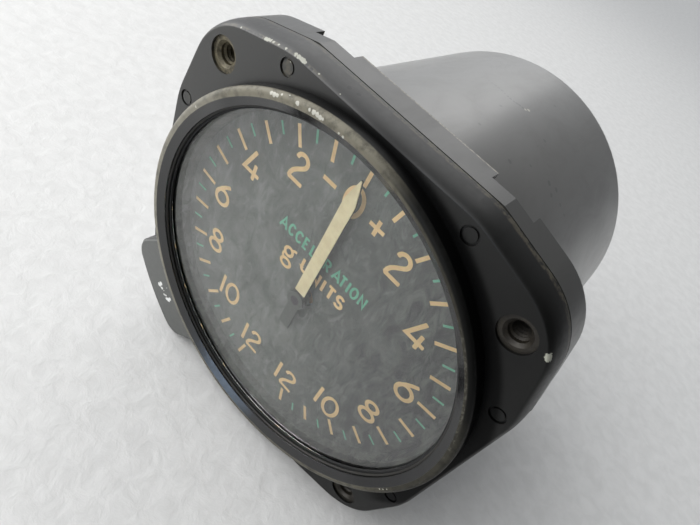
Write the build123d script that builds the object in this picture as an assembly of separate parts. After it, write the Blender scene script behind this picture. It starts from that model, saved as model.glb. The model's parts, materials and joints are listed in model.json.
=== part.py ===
from build123d import *
import os
from math import atan, cos, pi, radians, sin, sqrt, tan

os.makedirs("parts", exist_ok=True)

# Sizes in millimetres. X is right and Z is up on the dial, Y runs into the instrument,
# and y = 0 is the front face of the mounting flange.

# Case body
case_front_r = 38.45
case_taper = 0.95
case_wall = 2.5
case_rear = 75.0
case_round = 3.5
case_floor_t = 3.0
boss_r = 3.6
boss_inset = 2.5
boss_length = 13.0
boss_azimuths = (90.0, 210.0, 330.0)

# Mounting flange, both layers
flange_lip = 2.825
bolt_margin = 3.175
corner_run = 22.7
corner_taper_deg = 14.7
corner_r = 13.4
bend_r = 20.0
frame_t = 5.4
flange_rear_t = 6.0
crown_inset = 1.15
crown_depth = 4.6
joint_groove = 0.25

# Bezel and what it holds
bezel_step = 0.95
bezel_wall = 3.0
bezel_proud = 3.15
bezel_land = 1.5
bezel_lip = 0.95
bezel_round = 0.9
part_gap = 0.2
ring_wire_r = 0.3
ring_bite = 0.25
ring_gap_deg = 14.0
ring_clear = 0.05
seal_t = 0.4
seal_w = 0.6
glass_t = 2.0
glass_sink = 2.35
glass_bevel = 0.15
spacer_w = 0.5
spacer_lean = 0.9
spacer_t = 3.15
dial_t = 0.8

# Corner inserts, pad and joint screws
insert_r = 3.05
insert_hole_r = 1.75
insert_sink = 0.5
insert_rim = 0.5
insert_seat = 0.5
pad_reach = 4.3
pad_half = 12.8
pad_proud = 2.5
pad_round = 5.0
pad_bevel = 0.5
screw_margin = 1.6
screw_spread_deg = 19.2
mark_r = 1.5
mark_core_r = 1.1
mark_core_sink = 0.1
mark_depth = 0.4
notch_r = 4.2
notch_depth = 2.2
notch_clear = 0.2
joint_screw_r = 1.2
joint_head_r = 2.1
joint_head_t = 1.5
joint_screw_tip = 1.4
case_seal_t = 0.6
case_seal_w = 1.6
case_seal_inset = 0.6
case_seal_gap = 0.05

# Dial marks
g_step_deg = 13.89
g_count = 12
dial_turn_deg = 0.6
tick_margin = 3.35
tick_length = 4.0
tick_w = 0.72
half_tick_length = 2.3
half_tick_w = 0.42
paint_t = 0.05

# Mechanism frame
front_plate_t = 2.05
rear_gap = 8.0
rear_plate_t = 2.5
plate_margin = 1.0
pillar_r = 2.2
pillar_gap = 1.8
pillar_inset = 5.27
pillar_azimuths = (47.7, 132.3, 227.7, 312.3)
screw_r = 1.1
screw_head_r = 2.2
screw_head_t = 1.3
screw_depth = 5.0
screw_tip_gap = 0.5
head_sink = 0.05
slot_w = 0.5
slot_depth = 0.5
thread_gap = 0.02
foot_r = 0.8
foot_tail = 1.0
foot_inset = 7.0
window_r = 9.0
side_window_r = 6.0
side_window_edge = 8.0

# Staff, gear and rack
staff_r = 1.0
shoulder_r = 1.6
bearing_r = 2.2
bearing_gap = 0.03
bearing_lip = 0.8
end_play = 0.3
collar_t = 1.1
bridge_gap = 4.0
bridge_t = 2.5
bridge_x = -5.0
bridge_z = 16.0
bridge_edge = 1.2
post_r = 2.0
gear_module = 0.5
pinion_teeth = 12
pressure_deg = 20.0
rack_addendum = 0.34
root_clear = 0.12
tooth_slack = 0.12
pinion_start = 8.0
pinion_w = 5.0
rack_inset = 0.3
rack_body_w = 2.88
rack_teeth = 17

# Pointer
pointer_gap = 1.65
lume_t = 0.2
arm_t = 0.3
arm_w = 2.5
arm_reach = 2.0
tip_length = 4.5
tip_half_w = 0.15
lume_start_z = 2.3
tail_length = 8.5
tail_w = 2.7
pointer_offset_deg = 0.8
hub_r = 2.0
cap_rise = 0.25
dial_hole_gap = 0.4

# Weight, guide rods, stops and springs
weight_half_h = 7.0
weight_t = 16.0
weight_bevel = 1.2
rod_inset = 5.5
rod_r = 1.5
bush_r = 2.3
bush_length = 4.0
stop_gap = 0.3
stop_r = 2.7
carrier_inset = 1.0
carrier_gap = 0.95
carrier_t = 4.0
carrier_depth = 26.0
carrier_bevel = 2.0
carrier_screw_x = 6.5
spring_r = 4.0
spring_wire_r = 0.5
spring_turns = 6
turn_steps = 16
spring_seat = 2.0
spring_play = 0.5
adjuster_r = 2.0
adjuster_head_r = 2.9
adjuster_head_t = 2.0
adjuster_spare = 2.4
nut_r = 3.4
nut_t = 1.8
bracket_t = 2.5
bracket_half_h = 5.0
bracket_foot_edge = 2.0
bracket_foot_t = 2.0
small_screw_r = 0.8
small_head_r = 1.5
small_head_t = 1.0
small_slot_w = 0.4
small_slot_depth = 0.4
rack_screw_z = 3.2
foot_screw_z = 2.6
rack_screw_depth = 1.8
foot_screw_depth = 3.0

# Longer than the whole instrument, for cuts that go right through
through = 2 * case_rear

# Sizes that follow from the ones above
case_rear_r = case_front_r - case_taper
case_inner_r = case_rear_r - case_wall
flange_half = case_front_r + flange_lip
flat_half = flange_half - corner_run
bolt_circle_r = flange_half + bolt_margin
flange_rear = frame_t + flange_rear_t
bezel_r = case_front_r + bezel_step
bezel_bore_r = bezel_r - bezel_wall
bezel_lip_y = bezel_lip - bezel_proud
glass_front = glass_sink - bezel_proud
glass_r = bezel_bore_r - part_gap
glass_rear = glass_front + glass_t
seal_front = glass_front - seal_t
seal_r = bezel_bore_r - part_gap / 2
ring_centre_r = bezel_bore_r + ring_bite - ring_wire_r
ring_y = seal_front - ring_clear - ring_wire_r
dial_front = glass_rear + spacer_t
dial_rear = dial_front + dial_t
plate_rear = dial_rear + front_plate_t
boss_circle_r = case_inner_r - boss_inset
boss_rear = plate_rear + boss_length
pad_r = bolt_circle_r + pad_reach
screw_circle_r = case_front_r + joint_head_r + screw_margin
joint_seat = flange_rear - notch_depth
case_seal_r = bezel_bore_r + case_seal_inset
tick_outer_r = bezel_bore_r - tick_margin
tick_mid_r = tick_outer_r - tick_length / 2
half_tick_mid_r = tick_outer_r - half_tick_length / 2
foot_circle_r = bezel_bore_r - foot_inset
rear_plate_front = case_rear - case_floor_t - rear_gap
rear_plate_rear = rear_plate_front + rear_plate_t
rear_plate_r = case_inner_r - plate_margin
side_window_x = rear_plate_r - side_window_edge - side_window_r
pillar_circle_r = case_inner_r - pillar_inset
weight_half_w = pillar_circle_r * sin(radians(pillar_azimuths[0])) - pillar_r - pillar_gap
pinion_r = gear_module * pinion_teeth / 2
travel = g_count * radians(g_step_deg) * pinion_r
weight_front = rear_plate_front - carrier_depth
rod_y = weight_front + weight_t / 2
rod_x = weight_half_w - rod_inset
stop_start = weight_half_h + travel + stop_gap
carrier_half_w = weight_half_w - carrier_inset
carrier_outer_z = sqrt((case_inner_r - carrier_gap) ** 2 - carrier_half_w ** 2)
carrier_z = carrier_outer_z - carrier_t
front_bearing_rear = plate_rear + bearing_lip
shoulder_front = front_bearing_rear + end_play
pinion_front = plate_rear + pinion_start
pinion_rear = pinion_front + pinion_w
bridge_front = pinion_rear + bridge_gap
bridge_rear = bridge_front + bridge_t
rear_bearing_rear = bridge_rear + bearing_lip
collar_front = rear_bearing_rear + end_play
pointer_front = dial_front - pointer_gap - lume_t - arm_t
arm_front = pointer_front + lume_t
arm_rear = arm_front + arm_t
arm_tip_z = tick_outer_r - arm_reach
arm_shoulder_z = arm_tip_z - tip_length
hub_rear = dial_front - dial_hole_gap
cap_front = pointer_front - cap_rise
pitch = pi * gear_module
rack_front = pinion_front + rack_inset
rack_rear = pinion_rear - rack_inset
rack_mid = (rack_front + rack_rear) / 2
rack_tip_x = pinion_r - rack_addendum
rack_root_x = pinion_r + gear_module + root_clear
rack_back_x = rack_root_x + rack_body_w
rack_half_z = pitch * rack_teeth / 2
bracket_outer = rack_back_x + bracket_t
bracket_foot_x = weight_half_w - bracket_foot_edge
foot_screw_x = (bracket_outer + bracket_foot_x) / 2

corner_azimuths = (45.0, 135.0, 225.0, 315.0)
insert_azimuths = (315.0, 45.0, 135.0)
pad_azimuth = 225.0


def at(azimuth, radius, y=0.0):
    """Point at a clock angle and radius on the dial."""
    return Vector(radius * sin(radians(azimuth)), y, radius * cos(radians(azimuth)))


def plate(sketch, y0, y1):
    """Flat piece drawn as seen from the front, from depth y0 to y1."""
    return extrude(Plane.XZ.offset(-y1) * sketch, amount=y1 - y0)


def rod(x, z, radius, y0, y1):
    """Round bar along Y."""
    return plate(Pos(x, z) * Circle(radius), y0, y1)


def upright(x, y, radius, z0, z1):
    """Round bar along Z."""
    return Pos(x, y, z0) * extrude(Circle(radius), amount=z1 - z0)


def block(x0, x1, y0, y1, z0, z1):
    """Square-cornered block between two corners."""
    mid = ((x0 + x1) / 2, (y0 + y1) / 2, (z0 + z1) / 2)
    return Pos(*mid) * Box(x1 - x0, y1 - y0, z1 - z0)


def turned_in(x, z, y, r_front, r_rear, depth):
    """Cone along Y with its front end at depth y."""
    cone = Cone(r_front, r_rear, depth, align=(Align.CENTER, Align.CENTER, Align.MIN))
    return Pos(x, y, z) * Rot(-90, 0, 0) * cone


def turned(points):
    """Piece turned about the dial axis from (radius, depth) points."""
    return revolve(make_face(Polyline(*points, close=True)), axis=Axis.Y)


def tube(r_out, r_in, y0, y1):
    """Ring or sleeve about the dial axis."""
    return turned([(r_in, y0), (r_out, y0), (r_out, y1), (r_in, y1)])


def spread(azimuths, radius):
    """Points on a circle at the given clock angles, as (x, z)."""
    return [(at(a, radius).X, at(a, radius).Z) for a in azimuths]


def save(name, solids):
    """Write one named piece, made of one or more solids."""
    shapes = solids if isinstance(solids, (list, tuple)) else [solids]
    found = []
    for shape in shapes:
        found = found + list(shape.solids())
    body = found[0] if len(found) == 1 else Compound(children=found)
    body.label = name
    export_step(body, "parts/" + name + ".step")


def flange_outline(bend=0.0):
    """Square flange whose sides taper towards four rounded corners."""
    slope = radians(corner_taper_deg)
    reach = flange_half * cos(slope) + flat_half * sin(slope)
    tip = reach / (cos(slope) + sin(slope))
    points = []
    for turn in (0, 90, 180, 270):
        for x, z in ((flange_half, -flat_half), (flange_half, flat_half), (tip, tip)):
            points.append(Vector(x, z).rotate(Axis.Z, turn))
    shape = make_face(Polyline(*points, close=True))
    corners = [v for v in shape.vertices() if abs(abs(v.X) - abs(v.Y)) < 0.001]
    shape = fillet(corners, corner_r)
    if bend:
        bends = [v for v in shape.vertices() if abs(max(abs(v.X), abs(v.Y)) - flange_half) < 0.001]
        shape = fillet(bends, bend)
    return shape


def crown_waste(shape):
    """What lies outside the crowned side of the flange's front layer."""
    path = shape.wire()
    start = path @ 0
    tangent = path % 0
    side = Plane(origin=start, z_dir=tangent, x_dir=tangent.cross(Vector(0, 0, 1)))
    section = make_face(
        [
            EllipticalCenterArc((-crown_inset, crown_depth), crown_inset, crown_depth, -90, arc_size=90),
            Polyline((0, crown_depth), (1, crown_depth), (1, -1), (-crown_inset, -1), (-crown_inset, 0)),
        ]
    )
    return Plane.XZ * sweep(side * section, path=path)


def pad_outline():
    """Raised pad over the corner that has no insert."""
    strip = Pos(0, pad_r) * Rectangle(2 * pad_half, 2 * (pad_r - bezel_bore_r))
    shape = Circle(pad_r) & strip
    top = shape.vertices().sort_by(Axis.Y)[-2:]
    return Rot(0, 0, -pad_azimuth) * fillet(top, pad_round)


joint_screw_azimuths = []
for corner in corner_azimuths:
    joint_screw_azimuths.append(corner - screw_spread_deg)
    joint_screw_azimuths.append(corner + screw_spread_deg)
joint_points = spread(joint_screw_azimuths, screw_circle_r)
insert_points = spread(insert_azimuths, bolt_circle_r)

# Front frame: flange front layer, bezel and corner pad
front_outline = flange_outline(bend_r)
frame = plate(front_outline, 0, frame_t)
frame -= crown_waste(front_outline)
for x, z in joint_points:
    frame -= rod(x, z, mark_r, -1, mark_depth) - rod(x, z, mark_core_r, mark_core_sink, mark_depth)
pad = plate(pad_outline(), -pad_proud, frame_t)
pad = chamfer(pad.faces().sort_by(Axis.Y)[0].edges(), pad_bevel)
frame += pad
rim = make_face(
    [
        Polyline(
            (bezel_bore_r, frame_t / 2),
            (bezel_bore_r, bezel_lip_y),
            (bezel_r - bezel_land, -bezel_proud),
            (bezel_r - bezel_round, -bezel_proud),
        ),
        ThreePointArc(
            (bezel_r - bezel_round, -bezel_proud),
            (bezel_r - bezel_round * (1 - cos(pi / 4)), -bezel_proud + bezel_round * (1 - cos(pi / 4))),
            (bezel_r, -bezel_proud + bezel_round),
        ),
        Polyline(
            (bezel_r, -bezel_proud + bezel_round),
            (bezel_r, frame_t / 2),
            (bezel_bore_r, frame_t / 2),
        ),
    ]
)
frame += revolve(rim, axis=Axis.Y)
frame -= rod(0, 0, bezel_bore_r, -bezel_proud - 1, frame_t + 1)
groove_half = ring_wire_r + ring_clear
frame -= tube(ring_centre_r + groove_half, bezel_bore_r - 1, ring_y - groove_half, ring_y + groove_half)
for x, z in insert_points:
    frame -= rod(x, z, insert_r, -1, frame_t + 1)
for x, z in joint_points:
    frame -= rod(x, z, joint_screw_r, joint_screw_tip, frame_t + 1)
save("front_frame", frame)

# Threaded corner inserts
inserts = []
for x, z in insert_points:
    piece = rod(x, z, insert_r, insert_sink, frame_t)
    piece -= rod(x, z, insert_hole_r, -1, frame_t + 1)
    piece -= turned_in(x, z, insert_sink, insert_hole_r + insert_rim, insert_hole_r, insert_rim)
    inserts.append(piece)
save("corner_inserts", inserts)

# Case: rear flange layer, body and inner bosses
rear_outline = flange_outline()
case = plate(rear_outline, frame_t, flange_rear)
case -= plate(rear_outline - offset(rear_outline, -joint_groove), frame_t - 1, frame_t + joint_groove)
body = make_face(
    [
        Polyline((0, frame_t), (case_front_r, frame_t), (case_front_r, flange_rear),
                 (case_rear_r, case_rear - case_round)),
        ThreePointArc(
            (case_rear_r, case_rear - case_round),
            (case_rear_r - case_round * (1 - cos(pi / 4)), case_rear - case_round * (1 - cos(pi / 4))),
            (case_rear_r - case_round, case_rear),
        ),
        Polyline((case_rear_r - case_round, case_rear), (0, case_rear), (0, frame_t)),
    ]
)
case += revolve(body, axis=Axis.Y)
case -= rod(0, 0, bezel_bore_r, 0, plate_rear)
case -= rod(0, 0, case_inner_r, 0, case_rear - case_floor_t)
for x, z in spread(boss_azimuths, boss_circle_r):
    post = rod(x, z, boss_r, plate_rear, boss_rear)
    case += post & rod(0, 0, case_inner_r + case_wall / 4, plate_rear, boss_rear)
    case -= rod(x, z, screw_r, plate_rear - 1, plate_rear + screw_depth)
case -= tube(case_seal_r + case_seal_w, case_seal_r, frame_t - 1, frame_t + case_seal_t)
for x, z in joint_points:
    notch = rod(x, z, notch_r, joint_seat, flange_rear + 1)
    reach_x = x if abs(z) > abs(x) else flange_half * (1 if x > 0 else -1)
    reach_z = z if abs(x) > abs(z) else flange_half * (1 if z > 0 else -1)
    half_x = notch_r if abs(z) > abs(x) else 0
    half_z = notch_r if abs(x) > abs(z) else 0
    notch += block(min(x, reach_x) - half_x, max(x, reach_x) + half_x, joint_seat, flange_rear + 1,
                   min(z, reach_z) - half_z, max(z, reach_z) + half_z)
    case -= notch - rod(0, 0, case_front_r + notch_clear, joint_seat - 1, flange_rear + 2)
    case -= rod(x, z, joint_screw_r, 0, flange_rear)
for x, z in insert_points:
    case -= rod(x, z, insert_r - insert_seat, 0, flange_rear + 1)
save("case", case)

# Seal between the frame and the case
save("case_seal", tube(case_seal_r + case_seal_w - case_seal_gap, case_seal_r + case_seal_gap,
                       frame_t, frame_t + case_seal_t))


def pan_screw(x, z, shank_r, head_r, head_t, seat_y, tip_y, way):
    """Slotted cheese-head screw along Y; way is +1 when its head is behind the seat."""
    low, high = sorted((seat_y, tip_y))
    shank = rod(x, z, shank_r - thread_gap, low, high)
    top = seat_y + way * head_t
    low, high = sorted((seat_y, top))
    head = rod(x, z, head_r, low, high)
    low, high = sorted((top + way, top - way * slot_depth))
    slot = block(x - head_r - 1, x + head_r + 1, low, high, z - slot_w / 2, z + slot_w / 2)
    return shank + head - slot


# Screws that hold the case to the frame
joint_screws = []
for x, z in joint_points:
    screw = pan_screw(x, z, joint_screw_r, joint_head_r, joint_head_t, joint_seat, joint_screw_tip, 1)
    joint_screws.append(screw)
save("case_screws", joint_screws)

# Wire ring, seal and glass
section = Pos(ring_centre_r, ring_y) * Circle(ring_wire_r)
half_gap = ring_gap_deg / 2
wire = revolve(section, axis=Axis.Y, revolution_arc=360 - ring_gap_deg)
save("retaining_ring", Rot(0, -45 + half_gap, 0) * wire)
save("glass_seal", tube(seal_r, seal_r - seal_w, seal_front, glass_front))
save("cover_glass", turned([
    (0, glass_front), (glass_r - glass_bevel, glass_front), (glass_r, glass_front + glass_bevel),
    (glass_r, glass_rear), (0, glass_rear),
]))
save("dial_spacer", turned([
    (glass_r, glass_rear), (glass_r, dial_front), (glass_r - spacer_w - spacer_lean, dial_front),
    (glass_r - spacer_w, glass_rear),
]))

# Dial, its marks and its feet
save("dial", tube(glass_r, hub_r + dial_hole_gap, dial_front, dial_rear))
unit_ticks = []
for g in range(-g_count, g_count + 1):
    mark = Rot(0, 0, -g * g_step_deg - dial_turn_deg) * Pos(0, tick_mid_r) * Rectangle(tick_w, tick_length)
    unit_ticks.append(plate(mark, dial_front - paint_t, dial_front))
save("unit_ticks", unit_ticks)
half_ticks = []
for g in range(-g_count, g_count):
    mark = Rot(0, 0, -(g + 0.5) * g_step_deg - dial_turn_deg) * Pos(0, half_tick_mid_r)
    mark = mark * Rectangle(half_tick_w, half_tick_length)
    half_ticks.append(plate(mark, dial_front - paint_t, dial_front))
save("half_ticks", half_ticks)
foot_points = spread((60.0, 180.0, 300.0), foot_circle_r)
save("dial_feet", [rod(x, z, foot_r - thread_gap, dial_rear, plate_rear + foot_tail) for x, z in foot_points])

# Mechanism front plate
pillar_points = spread(pillar_azimuths, pillar_circle_r)
post_points = [(bridge_x, -bridge_z), (bridge_x, bridge_z)]
boss_points = spread(boss_azimuths, boss_circle_r)


def sunk_head(x, z, y):
    """Cone of a countersunk head that opens forwards from depth y."""
    return turned_in(x, z, y, screw_head_r, screw_r, screw_head_r - screw_r)


front_plate = tube(glass_r, bearing_r, dial_rear, plate_rear)
for x, z in pillar_points + post_points + boss_points:
    front_plate -= rod(x, z, screw_r, 0, through)
    front_plate -= sunk_head(x, z, dial_rear)
for x, z in foot_points:
    front_plate -= rod(x, z, foot_r, 0, through)
save("front_plate", front_plate)

plate_screws = []
for x, z in pillar_points + post_points + boss_points:
    low = dial_rear + head_sink
    piece = rod(x, z, screw_r - thread_gap, low, plate_rear + screw_depth - screw_tip_gap)
    piece += sunk_head(x, z, dial_rear - thread_gap) & rod(x, z, screw_head_r, low, plate_rear)
    piece -= block(x - screw_head_r, x + screw_head_r, dial_rear - 1, low + slot_depth,
                   z - slot_w / 2, z + slot_w / 2)
    plate_screws.append(piece)
save("plate_screws", plate_screws)

# Pillars and rear plate
pillars = []
for x, z in pillar_points:
    piece = rod(x, z, pillar_r, plate_rear, rear_plate_front)
    piece -= rod(x, z, screw_r, plate_rear, plate_rear + screw_depth)
    piece -= rod(x, z, screw_r, rear_plate_front - screw_depth, rear_plate_front)
    pillars.append(piece)
save("pillars", pillars)

screw_z = carrier_z + carrier_t / 2
carrier_points = [(x, z) for x in (-carrier_screw_x, carrier_screw_x) for z in (-screw_z, screw_z)]
rear_plate = rod(0, 0, rear_plate_r, rear_plate_front, rear_plate_rear)
for x, z in pillar_points + carrier_points:
    rear_plate -= rod(x, z, screw_r, 0, through)
rear_plate -= rod(0, 0, window_r, 0, through)
for x in (-side_window_x, side_window_x):
    rear_plate -= rod(x, 0, side_window_r, 0, through)
save("rear_plate", rear_plate)

rear_screws = []
for x, z in pillar_points + carrier_points:
    rear_screws.append(pan_screw(x, z, screw_r, screw_head_r, screw_head_t, rear_plate_rear,
                                 rear_plate_front - screw_depth + screw_tip_gap, 1))
save("rear_plate_screws", rear_screws)

# Staff bridge on its two posts
posts = []
for x, z in post_points:
    piece = rod(x, z, post_r, plate_rear, bridge_front)
    piece -= rod(x, z, screw_r, plate_rear, plate_rear + screw_depth)
    piece -= rod(x, z, screw_r, bridge_front - screw_depth, bridge_front)
    posts.append(piece)
save("bridge_posts", posts)
bridge_reach = post_r + bridge_edge
bridge = block(bridge_x - bridge_reach, bearing_r + bridge_edge, bridge_front, bridge_rear,
               -bridge_z - bridge_reach, bridge_z + bridge_reach)
bridge -= rod(0, 0, bearing_r, 0, through)
for x, z in post_points:
    bridge -= rod(x, z, screw_r, 0, through)
save("staff_bridge", bridge)
bridge_screws = []
for x, z in post_points:
    bridge_screws.append(pan_screw(x, z, screw_r, screw_head_r, screw_head_t, bridge_rear,
                                   bridge_front - screw_depth + screw_tip_gap, 1))
save("bridge_screws", bridge_screws)

# Staff bearings
save("front_bearing", tube(bearing_r, staff_r + bearing_gap, dial_rear + part_gap, front_bearing_rear))
save("rear_bearing", tube(bearing_r, staff_r + bearing_gap, bridge_front - bearing_lip, rear_bearing_rear))

# Staff with its two shoulders
staff = rod(0, 0, staff_r, cap_front, collar_front + collar_t)
staff += rod(0, 0, shoulder_r, shoulder_front, shoulder_front + collar_t)
save("staff", staff)
save("staff_collar", tube(hub_r, staff_r, collar_front, collar_front + collar_t))


def involute_pinion():
    """Spur pinion profile centred on the dial axis, a tooth space centred at the +X side."""
    base = pinion_r * cos(radians(pressure_deg))
    tip = pinion_r + gear_module
    root = pinion_r - rack_addendum - root_clear
    inv_p = tan(radians(pressure_deg)) - radians(pressure_deg)
    half_tooth = (pitch / 2 - tooth_slack / 2) / 2 / pinion_r + inv_p
    with BuildSketch() as gear:
        with BuildLine():
            step = 2 * pi / pinion_teeth
            for k in range(pinion_teeth):
                centre = (k + 0.5) * step
                left = []
                for r in (base, (base + pinion_r) / 2, pinion_r, (pinion_r + tip) / 2, tip):
                    turn = sqrt(max((r / base) ** 2 - 1, 0))
                    offset = half_tooth - (turn - atan(turn))
                    left.append((r, offset))
                lower = [(r * cos(centre - o), r * sin(centre - o)) for r, o in left]
                upper = [(r * cos(centre + o), r * sin(centre + o)) for r, o in reversed(left)]
                o = left[0][1]
                root_in = (root * cos(centre - o), root * sin(centre - o))
                root_out = (root * cos(centre + o), root * sin(centre + o))
                next_in = (root * cos(centre + step - o), root * sin(centre + step - o))
                Polyline(root_in, *lower)
                Line(lower[-1], upper[0])
                Polyline(*upper, root_out)
                Line(root_out, next_in)
        make_face()
    return gear.sketch


pinion = plate(involute_pinion(), pinion_front, pinion_rear)
pinion -= rod(0, 0, staff_r, 0, through)
save("pinion", pinion)

# Rack, cut to mesh with the pinion at the zero mark
lean = tan(radians(pressure_deg))
half_at_pitch = pitch / 4 - tooth_slack / 4
tooth_tip = half_at_pitch - rack_addendum * lean
tooth_root = half_at_pitch + (rack_root_x - pinion_r) * lean
with BuildSketch() as rack_profile:
    with BuildLine():
        points = [(rack_back_x, -rack_half_z), (rack_root_x, -rack_half_z)]
        for k in range(rack_teeth):
            z = (k - (rack_teeth - 1) / 2) * pitch
            points.append((rack_root_x, z - tooth_root))
            points.append((rack_tip_x, z - tooth_tip))
            points.append((rack_tip_x, z + tooth_tip))
            points.append((rack_root_x, z + tooth_root))
        points.append((rack_root_x, rack_half_z))
        points.append((rack_back_x, rack_half_z))
        Polyline(*points, close=True)
    make_face()
rack = plate(rack_profile.sketch, rack_front, rack_rear)


def side_bar(y, z, radius, x0, x1):
    """Round bar along X."""
    return Pos(x0, y, z) * Rot(0, 90, 0) * extrude(Circle(radius), amount=x1 - x0)


side_points = [(rack_mid, -rack_screw_z), (rack_mid, rack_screw_z)]
for y, z in side_points:
    rack -= side_bar(y, z, small_screw_r, rack_back_x - rack_screw_depth - part_gap, rack_back_x + 1)
save("rack", rack)

# Bracket that joins the rack to the weight
foot_front = weight_front - bracket_foot_t
bracket = block(rack_back_x, bracket_outer, rack_front, weight_front, -bracket_half_h, bracket_half_h)
bracket += block(rack_back_x, bracket_foot_x, foot_front, weight_front, -bracket_half_h, bracket_half_h)
foot_screws = [(foot_screw_x, -foot_screw_z), (foot_screw_x, foot_screw_z)]
for y, z in side_points:
    bracket -= side_bar(y, z, small_screw_r, rack_back_x - 1, bracket_outer + 1)
for x, z in foot_screws:
    bracket -= rod(x, z, small_screw_r, 0, through)
save("rack_bracket", bracket)
bracket_screws = []
shank_r = small_screw_r - thread_gap
for y, z in side_points:
    top = bracket_outer + small_head_t
    piece = side_bar(y, z, shank_r, rack_back_x - rack_screw_depth, bracket_outer)
    piece += side_bar(y, z, small_head_r, bracket_outer, top)
    piece -= block(top - small_slot_depth, top + 1, y - small_head_r, y + small_head_r,
                   z - small_slot_w / 2, z + small_slot_w / 2)
    bracket_screws.append(piece)
for x, z in foot_screws:
    top = foot_front - small_head_t
    piece = rod(x, z, shank_r, foot_front, weight_front + foot_screw_depth)
    piece += rod(x, z, small_head_r, top, foot_front)
    piece -= block(x - small_head_r, x + small_head_r, top - 1, top + small_slot_depth,
                   z - small_slot_w / 2, z + small_slot_w / 2)
    bracket_screws.append(piece)
save("bracket_screws", bracket_screws)

# Weight and its bushes
weight = block(-weight_half_w, weight_half_w, weight_front, weight_front + weight_t,
               -weight_half_h, weight_half_h)
weight = chamfer(weight.edges().filter_by(Axis.Y), weight_bevel)
for x in (-rod_x, rod_x):
    weight -= upright(x, rod_y, bush_r, -weight_half_h - 1, weight_half_h + 1)
seat_z = weight_half_h - spring_seat
for low, high in ((seat_z, weight_half_h + 1), (-weight_half_h - 1, -seat_z)):
    weight -= upright(0, rod_y, spring_r + spring_wire_r + spring_play, low, high)
for x, z in foot_screws:
    weight -= rod(x, z, small_screw_r, weight_front - 1, weight_front + foot_screw_depth + screw_tip_gap)
save("weight", weight)
bushes = []
for x in (-rod_x, rod_x):
    for low in (-weight_half_h, weight_half_h - bush_length):
        piece = upright(x, rod_y, bush_r, low, low + bush_length)
        bushes.append(piece - upright(x, rod_y, rod_r + bearing_gap, low - 1, low + bush_length + 1))
save("weight_bushes", bushes)

# Guide rods, their carriers and the stop sleeves
save("guide_rods", [upright(x, rod_y, rod_r, -carrier_outer_z, carrier_outer_z) for x in (-rod_x, rod_x)])
for name, side in (("upper_carrier", 1), ("lower_carrier", -1)):
    low, high = sorted((side * carrier_z, side * carrier_outer_z))
    piece = block(-carrier_half_w, carrier_half_w, weight_front, rear_plate_front, low, high)
    piece = chamfer(piece.edges().filter_by(Axis.Z).sort_by(Axis.Y)[:2], carrier_bevel)
    for x in (-rod_x, rod_x):
        piece -= upright(x, rod_y, rod_r, low - 1, high + 1)
    piece -= upright(0, rod_y, adjuster_r, low - 1, high + 1)
    for x, z in carrier_points:
        piece -= rod(x, z, screw_r, rear_plate_front - screw_depth, rear_plate_front)
    save(name, piece)
stops = []
for x in (-rod_x, rod_x):
    for low, high in ((stop_start, carrier_z), (-carrier_z, -stop_start)):
        piece = upright(x, rod_y, stop_r, low, high)
        stops.append(piece - upright(x, rod_y, rod_r, low - 1, high + 1))
save("stop_sleeves", stops)

# Springs above and below the weight
spring_low = weight_half_h - spring_seat + spring_wire_r
spring_high = carrier_z - spring_wire_r
length = spring_high - spring_low
steps = spring_turns * turn_steps
points = []
for k in range(steps + 1):
    angle = 2 * pi * k / turn_steps
    points.append((spring_r * cos(angle), spring_r * sin(angle), length * k / steps))
path = Polyline(*points)
start = Plane(origin=path @ 0, z_dir=path % 0)
coil = sweep(start * RegularPolygon(spring_wire_r, 8), path=path, transition=Transition.RIGHT)
upper = Pos(0, rod_y, spring_low) * coil
save("upper_spring", upper)
save("lower_spring", mirror(upper, about=Plane.XY))
adjusters = []
nuts = []
for side in (1, -1):
    head = side * (carrier_z - adjuster_head_t)
    low, high = sorted((head, side * (carrier_outer_z + adjuster_spare)))
    stud = upright(0, rod_y, adjuster_r - thread_gap, low, high)
    low, high = sorted((head, side * carrier_z))
    stud += upright(0, rod_y, adjuster_head_r, low, high)
    adjusters.append(stud)
    low, high = sorted((side * carrier_outer_z, side * (carrier_outer_z + nut_t)))
    nut = Pos(0, rod_y, low) * extrude(RegularPolygon(nut_r, 6), amount=nut_t)
    nuts.append(nut - upright(0, rod_y, adjuster_r, low - 1, high + 1))
save("spring_adjusters", adjusters)
save("adjuster_nuts", nuts)

# Pointer: black arm, painted blade, hub
def blade(width, low, high, shoulder):
    """Straight blade with a pointed tip."""
    return make_face(Polyline(
        (-width / 2, low), (width / 2, low), (width / 2, shoulder), (tip_half_w, high), (-tip_half_w, high),
        (-width / 2, shoulder), close=True))


turn = Rot(0, 0, -pointer_offset_deg)
lume = turn * blade(arm_w, lume_start_z, arm_tip_z, arm_shoulder_z)
save("pointer_paint", plate(lume, pointer_front, arm_front))
arm_shape = turn * blade(arm_w, 0, arm_tip_z, arm_shoulder_z)
arm_shape += turn * Pos(0, -tail_length / 2) * Rectangle(tail_w, tail_length)
arm = plate(arm_shape, arm_front, arm_rear)
arm -= rod(0, 0, staff_r, 0, through)
save("pointer_arm", arm)
save("pointer_hub", tube(hub_r, staff_r, arm_rear, hub_rear))
save("pointer_cap", tube(hub_r, staff_r, cap_front, arm_front))
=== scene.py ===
import json
from math import cos, pi, radians, sin

import bmesh
import bpy
from mathutils import Matrix, Vector


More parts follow.
